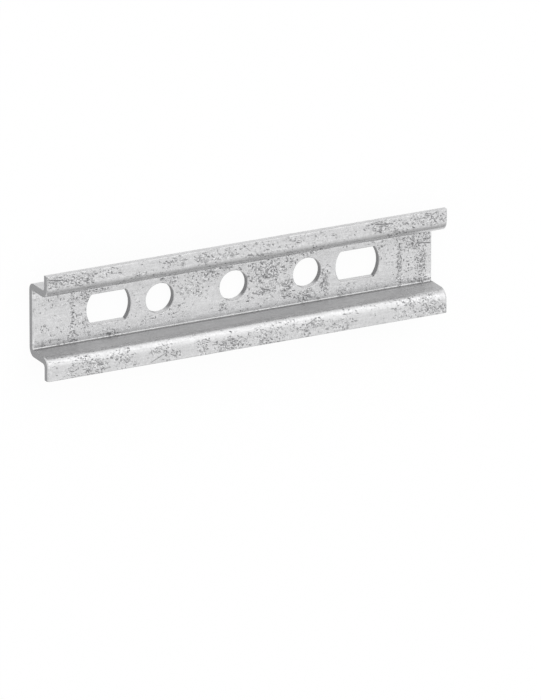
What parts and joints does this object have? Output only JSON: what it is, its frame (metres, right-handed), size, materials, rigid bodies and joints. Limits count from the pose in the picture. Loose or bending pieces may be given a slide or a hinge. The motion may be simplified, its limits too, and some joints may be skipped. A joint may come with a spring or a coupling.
{
  "type": "din rail",
  "caption": "Short galvanised steel mini top-hat rail with outward flanges and a row of round screw holes between two slots in its web.",
  "frame": {"origin": "middle of the web's back face, on which the rail lies", "axes": "+X along the rail, +Y across it, +Z from the back of the web to the front of the flanges"},
  "size_m": [0.061, 0.015, 0.0055],
  "materials": {
    "galvanised_steel": "zinc-coated strip, matt pale grey with fine dark handling marks"
  },
  "bodies": {
    "root": {"din_rail": "galvanised_steel"}
  },
  "joints": []
}
